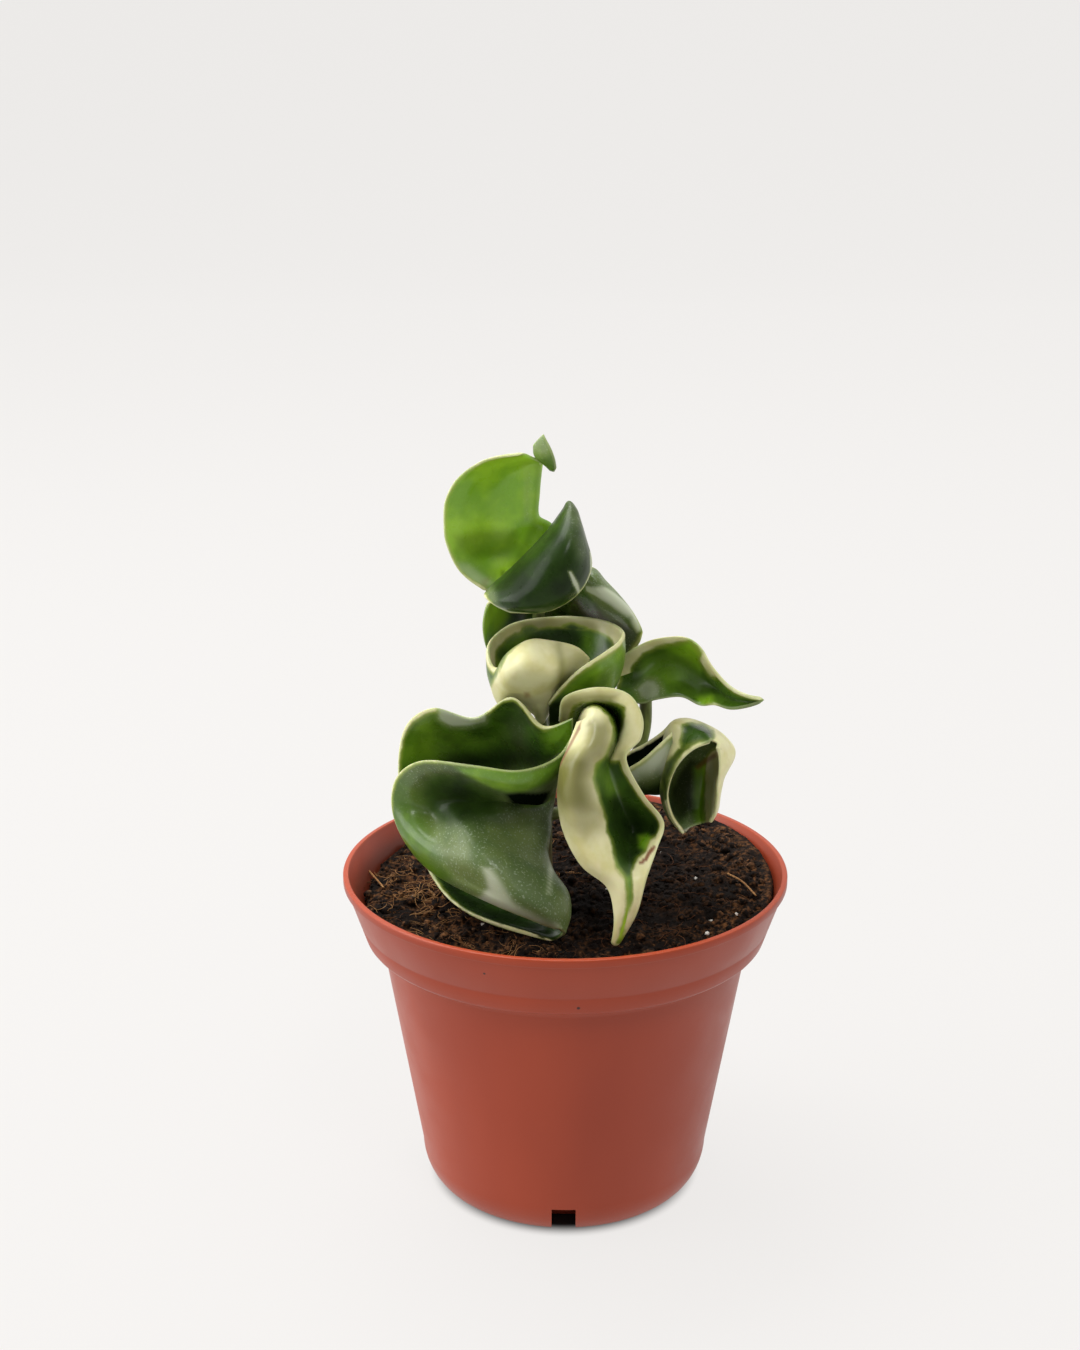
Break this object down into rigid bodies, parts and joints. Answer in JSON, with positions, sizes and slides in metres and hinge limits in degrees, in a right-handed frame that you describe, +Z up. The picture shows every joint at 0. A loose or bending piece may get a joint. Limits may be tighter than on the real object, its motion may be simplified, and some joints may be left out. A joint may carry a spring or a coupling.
{
  "type": "potted hoya plant",
  "caption": "Small hoya with thick, folded and curled variegated leaves on a short stem, in a plain round plastic nursery pot filled with soil.",
  "frame": {"origin": "centre of the pot's underside, on the surface that it stands on", "axes": "+Z up along the pot's axis, -Y towards the front, where the two largest leaves are, +X to the right as seen from the front"},
  "size_m": [0.09, 0.09, 0.156],
  "materials": {
    "pot": "satin",
    "soil": "rough damp peat and coir fibre",
    "stem": "matte green stem",
    "leaf_dark": "waxy, glossy above and matte below",
    "leaf_variegated": "waxy, cream and green",
    "leaf_bright": "waxy, with light coming through"
  },
  "bodies": {
    "root": {"pot": "pot", "soil": "soil", "stem": "stem", "leaf_left": "leaf_dark", "leaf_front": "leaf_variegated", "leaf_cup": "leaf_variegated", "leaf_bill": "leaf_bright", "leaf_right_hood": "leaf_variegated", "leaf_back": "leaf_dark", "leaf_top_hood": "leaf_dark", "leaf_top_disc": "leaf_bright"}
  },
  "joints": []
}
